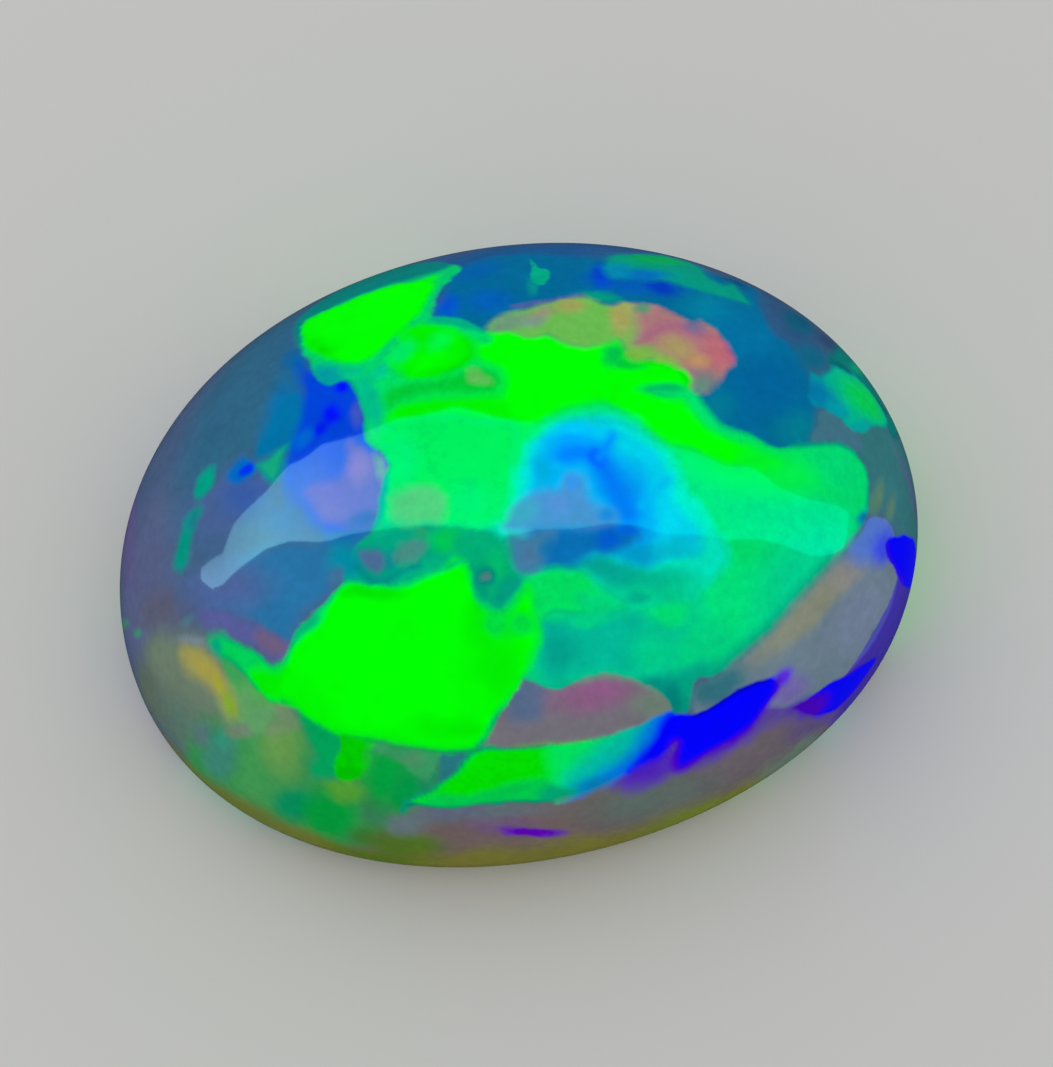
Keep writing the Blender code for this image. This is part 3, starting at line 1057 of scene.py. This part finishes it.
ultra.pane(violet_dash, (92, 0, 180), softness=0.14)
ultra.soften([(496, 829), (508, 831)], 0.5)
ultra.soften([(558, 834), (572, 834)], 0.4)
leaf_tail = [
    (296, 648), (286, 657), (278, 661), (268, 661), (260, 654), (252, 648), (240, 644), (228, 638),
    (217, 635), (208, 636), (207, 643), (212, 650), (222, 658), (234, 665), (244, 676), (254, 688),
    (262, 696), (270, 703), (282, 704), (300, 710)]
ultra.pane(leaf_tail, (0, 204, 86), edge=(0, 162, 110), edge_width=0.14, softness=0.18)
ultra.soften([(222, 634), (207, 636), (206, 644), (216, 656)], 0.4)
ultra.cloud([
    (310, 640), (290, 655), (276, 668), (262, 666), (248, 668), (249, 677), (257, 688), (266, 697),
    (280, 703), (310, 715)], (0, 236, 0), softness=0.35)
ultra.wash((217, 646), (12, 9), -35, (0, 162, 118), core=0.3)
ultra.trace([(224, 659), (236, 666), (245, 677), (254, 688)], (0, 160, 92), reach=0.08, softness=0.3)
ultra.trace([(256, 692), (263, 699), (270, 705), (280, 708)], (0, 184, 36), reach=0.08, softness=0.2)
look = ultra.over(look)

# The big leaf-green flash that lies on top of everything else. Its edge is a bluer green, and darkest along
# the lower border and on the right.
leaf = Layer("leaf")
leaf_green_flash = [
    (290, 655), (292, 645), (297, 632), (305, 623), (317, 612), (330, 601), (339, 590), (351, 583),
    (368, 586), (380, 586), (394, 587), (409, 585), (425, 577), (445, 570), (462, 564), (469, 567),
    (471, 580), (475, 592), (483, 603), (491, 611), (501, 612), (509, 606), (516, 598), (523, 588),
    (528, 584), (534, 592), (536, 610), (539, 630), (537, 645), (530, 663), (520, 681), (509, 699),
    (498, 716), (488, 732), (480, 746), (465, 750), (445, 749), (420, 747), (398, 744), (380, 739),
    (362, 736), (340, 735), (325, 730), (310, 722), (299, 713), (290, 704), (282, 699), (284, 675)]
leaf.pane(leaf_green_flash, (0, 254, 0), edge=(0, 196, 104), edge_width=0.15, softness=0.12, grow=0.05)
leaf.cloud([
    (262, 655), (292, 650), (330, 708), (400, 726), (470, 732), (492, 728), (505, 760), (480, 775),
    (400, 770), (300, 745), (262, 705)], (0, 250, 0), softness=0.2)
bottom = leaf_green_flash[-14:-1][::-1]
leaf.trace(bottom, (0, 212, 24), softness=0.4)
leaf.soften(bottom, 0.25)
leaf.trace([(x - 1, y + 4) for x, y in bottom], (0, 158, 68), reach=0.08, softness=0.16)
leaf.wash((350, 741), (20, 7), 0, (0, 200, 0), core=0.4)
leaf.trace([(285, 662), (290, 648), (300, 629)], (0, 162, 112), reach=0.04, softness=0.2)
right_side = [(527, 584), (536, 600), (539, 630), (536, 648), (528, 667)]
leaf.trace(right_side, (0, 226, 52), reach=0.1, softness=0.3)
leaf.soften(right_side, 0.3)
leaf.trace([
    (523, 680), (511, 700), (500, 717), (490, 733), (482, 748)], (0, 146, 112), reach=0.12, softness=0.2)
leaf.soften([(478, 598), (487, 609), (501, 612), (512, 603)], 0.4)
leaf.washes(
    ((372, 592), (42, 10), -3, (0, 228, 0)),
    ((482, 622), (24, 30), 0, (0, 230, 0)),
    ((505, 665), (30, 70), 18, (0, 238, 0)),
    ((450, 728), (50, 16), -4, (0, 234, 0)),
    ((508, 622), (32, 18), 0, (0, 228, 36)),
    ((494, 625), (14, 13), 0, (0, 214, 62), 0.4),
    ((523, 626), (13, 13), 0, (0, 214, 62), 0.4),
    ((522, 602), (8, 14), 30, (0, 244, 0), 0.4),
)
leaf.trace([(468, 566), (478, 598), (495, 613), (510, 608), (524, 590)], (0, 210, 66), softness=0.25)
leaf.wash((305, 625), (10, 26), -45, (0, 186, 116), core=0.3)
look = leaf.over(look)

# The olive edge low on the near side, which is painted light. The dome turns down to the girdle there, and
# its haze is mixed with what the polish mirrors from below: the olive is painted warm light, mirrored and
# let through the stone from below.
painted_light_rim = Layer("painted_light_rim")
# Painted light: the olive band of warm light mirrored and let through from below.
olive_edge_painted_light = [
    (166, 738), (196, 771), (224, 789), (264, 810), (306, 831), (352, 848), (396, 854), (440, 852),
    (480, 849), (520, 846), (556, 841), (595, 835), (632, 826), (668, 813), (705, 799), (742, 783),
    (778, 760), (812, 736), (850, 760), (780, 830), (680, 880), (560, 910), (430, 915), (320, 890),
    (230, 850), (150, 780), (110, 700)]
painted_light_rim.pane(olive_edge_painted_light, (112, 112, 44), softness=1.0, strength=0.95)
painted_light_rim.washes(
    ((250, 815), (100, 60), -35, (104, 114, 50)),
    ((375, 852), (70, 26), -4, (78, 108, 14)),
    ((690, 815), (60, 30), 25, (106, 122, 40)),
    ((798, 750), (50, 30), 35, (98, 120, 106), 0.4),
)
look = painted_light_rim.over(look)

# What the photograph doesn't show, the far side and the back, is a harlequin of panes a few millimetres wide
# in the same colours, with bent borders.
harlequin_density = 330.0
slide_grain = (500.0, 2.0, 0.5)
slide_reach = 2 * MM
lift_reach = 0.8 * MM
border_start, border_end = -0.04, 0.08
border_colour = (40, 86, 130)
near_side_reach = (445, 350)
near_side_turned = 15
near_side_wander = 0.7
near_side_fade = 0.2
slide = add(tree, "ShaderNodeTexNoise", (solid_place, None, *slide_grain)).outputs[0]
slide = maths(tree, "MULTIPLY", maths(tree, "SUBTRACT", slide, 0.5), slide_reach)
lift = maths(tree, "MULTIPLY", maths(tree, "SUBTRACT", coarse, 0.5), lift_reach)
bent = add(tree, "ShaderNodeCombineXYZ", (slide, lift, lift)).outputs[0]
bent = add(tree, "ShaderNodeVectorMath", (solid_place, bent), operation="ADD").outputs[0]
panes = add(tree, "ShaderNodeTexVoronoi", (bent, None, harlequin_density))
pick = add(tree, "ShaderNodeSeparateColor", (panes.outputs["Color"],)).outputs[0]
palette = add(tree, "ShaderNodeValToRGB", (pick,))
palette.color_ramp.interpolation = "CONSTANT"
palette_colours = (
    (62, 84, 128), (0, 150, 132), (0, 214, 96), (20, 92, 150), (0, 238, 20), (66, 72, 140), (0, 70, 225),
    (96, 104, 104), (0, 190, 150), (30, 110, 140))
while len(palette.color_ramp.elements) < len(palette_colours):
    palette.color_ramp.elements.new(1)
for i, colour in enumerate(palette_colours):
    palette.color_ramp.elements[i].position = i / len(palette_colours)
    palette.color_ramp.elements[i].color = (*seen(*colour), 1)
borders = add(tree, "ShaderNodeTexVoronoi", (bent, None, harlequin_density), feature="DISTANCE_TO_EDGE")
inside = smooth_range(tree, borders.outputs["Distance"], border_start, border_end)
hidden_look = mixed(tree, inside, (*seen(*border_colour), 1), palette.outputs[0])
near_side = depth_inside(oval(photo_middle, near_side_reach, near_side_turned), near_side_wander)
near = stored("near_side", np.repeat(near_side[:, None], 3, 1)).outputs["Fac"]
near = smooth_range(tree, maths(tree, "ADD", near, ripple), -near_side_fade, near_side_fade)
look = mixed(tree, near, hidden_look, look)

# The polish, and the faint mottling under it that the spheres' uneven stacking gives every pane. The stone
# also has a painted glow: it sends out light of its own colours though it is no lamp, standing in for the
# light that goes into it and comes back out of the panes.
mottle_range = (0.3, 0.7)
fine_mottle = (0.93, 1.06)
coarse_mottle = (0.95, 1.05)
fine_shade = add(tree, "ShaderNodeMapRange", (fine, *mottle_range, *fine_mottle)).outputs[0]
coarse_shade = add(tree, "ShaderNodeMapRange", (coarse, *mottle_range, *coarse_mottle)).outputs[0]
shade = maths(tree, "MULTIPLY", fine_shade, coarse_shade)
look = add(tree, "ShaderNodeVectorMath", (look, shade), operation="MULTIPLY").outputs[0]

shader.inputs["Roughness"].default_value = 0.05
shader.inputs["IOR"].default_value = 1.45
# Painted glow: the stone gives off light of its own colours, as if it were a lamp.
shader.inputs["Emission Strength"].default_value = 0.4
tree.links.new(look, shader.inputs["Base Color"])
tree.links.new(look, shader.inputs["Emission Color"])
stone_mesh.materials.append(opal_material)

# The window's reflection: a pale ribbon across the polish. Each point of the window is where a ray from the
# camera, turned back by the dome, meets a ball far outside the stone, so that the ribbon shows where the
# photograph has it.
window_lower = [
    (201, 580), (206, 586), (212, 589), (221, 587), (229, 577), (245, 564), (266, 549), (290, 541),
    (325, 542), (350, 534), (393, 528), (422, 525), (466, 527), (490, 531), (510, 536), (540, 529),
    (575, 529), (610, 523), (640, 526), (662, 534), (694, 534), (729, 540), (762, 539), (788, 547),
    (811, 556), (832, 555), (844, 547)]
window_upper = [
    (201, 568), (206, 562), (222, 555), (228, 541), (233, 525), (243, 513), (266, 492), (287, 466),
    (306, 458), (320, 445), (359, 435), (398, 418), (422, 416), (456, 406), (483, 414), (519, 422),
    (560, 423), (618, 424), (635, 432), (657, 443), (680, 449), (702, 454), (724, 467), (752, 466),
    (780, 488), (808, 499), (837, 505), (849, 513)]
window_away = 250 * MM


def mirrored(px, py):
    """The point on the far ball that a photograph point of the stone's polish reflects."""
    place, corners, shares = struck(px, py)
    normals = [stone_mesh.vertices[i].normal * share for i, share in zip(corners, shares)]
    way = ray_through(px, py).reflect(sum(normals, Vector()).normalized())
    ahead = place.dot(way)
    return place + way * (math.sqrt(ahead ** 2 + window_away ** 2 - place.length_squared) - ahead)


def spread(points, count):
    """Points at even steps of x along a line of points."""
    xs, ys = np.array(points, float).T
    steps = np.linspace(xs[0], xs[-1], count)
    return [(x, np.interp(x, np.maximum.accumulate(xs), ys)) for x in steps]


window_steps = 60
rows = [
    [mirrored(*point) for point in spread(line, window_steps)] for line in (window_lower, window_upper)]
window_mesh = bpy.data.meshes.new("window")
window_mesh.from_pydata(rows[0] + rows[1], [], [
    (i, i + 1, window_steps + i + 1, window_steps + i) for i in range(window_steps - 1)])
glow_stops = (0, 0.04, 0.1, 0.2, 0.28)
glow_red = (1.9, 1.9, 2.0, 1.9, 0)
glow_green = (4.4, 5.0, 7.2, 4.6, 4.2)
glow_blue = (5.0, 5.8, 8.4, 5.4, 3.2)
upper_glow = 0.65
window_share = np.linspace(0, 1, window_steps)
glow_along = np.stack([
    np.interp(window_share, glow_stops, part) for part in (glow_red, glow_green, glow_blue)], 1)
glow_at = window_mesh.attributes.new("glow", "FLOAT_VECTOR", "POINT")
glow_at.data.foreach_set("vector", np.r_[glow_along, glow_along * upper_glow].ravel())
window = placed("window", window_mesh)
window_light = bpy.data.materials.new("window_light")
window_light.use_nodes = True
glow = window_light.node_tree.nodes["Principled BSDF"]
glow.inputs["Base Color"].default_value = (0, 0, 0, 1)
glow.inputs["Emission Strength"].default_value = 1
window_light.node_tree.links.new(
    add(window_light.node_tree, "ShaderNodeAttribute", attribute_name="glow").outputs["Color"],
    glow.inputs["Emission Color"])
window_mesh.materials.append(window_light)
window.visible_camera = False
window.visible_diffuse = False
window.visible_transmission = False
window.visible_shadow = False

# The floor: a wide sheet of plain pale card under the stone. It is matt, and it doesn't show in the polish,
# so that the window's ribbon stands out alone.
floor_reach = 600 * MM
floor_mesh = bpy.data.meshes.new("floor")
floor_corners = [(x * floor_reach, y * floor_reach, 0) for x, y in ((-1, -1), (1, -1), (1, 1), (-1, 1))]
floor_mesh.from_pydata(floor_corners, [], [(0, 1, 2, 3)])
floor = placed("floor", floor_mesh)
floor_material = bpy.data.materials.new("pale_card")
floor_material.use_nodes = True
card = floor_material.node_tree.nodes["Principled BSDF"]
card.inputs["Base Color"].default_value = (0.8, 0.8, 0.78, 1)
card.inputs["Roughness"].default_value = 0.8
card.inputs["Specular IOR Level"].default_value = 0
floor_mesh.materials.append(floor_material)
floor.visible_glossy = False

# The light: an even, soft light from all round, which hardly shows in the polish, and one soft lamp above
# that gives the stone its faint shadow.
light_level = 0.62
mirrored_level = 0.015
world = bpy.data.worlds.new("studio")
bpy.context.scene.world = world
world.use_nodes = True
background = world.node_tree.nodes["Background"]
mirrored_ray = add(world.node_tree, "ShaderNodeLightPath").outputs["Is Glossy Ray"]
level = add(world.node_tree, "ShaderNodeMapRange", (mirrored_ray, 0.0, 1.0, light_level, mirrored_level))
world.node_tree.links.new(level.outputs[0], background.inputs["Strength"])
background.inputs["Color"].default_value = (1, 1, 1, 1)

key_data = bpy.data.lights.new("key", "AREA")
key_data.energy = 0.02
key_data.size = 120 * MM
key = placed("key", key_data)
key.location = Vector((-60, 60, 160)) * MM
key.rotation_euler = key.location.to_track_quat("Z", "Y").to_euler()
key.visible_glossy = False

bpy.context.scene.view_settings.view_transform = "Standard"
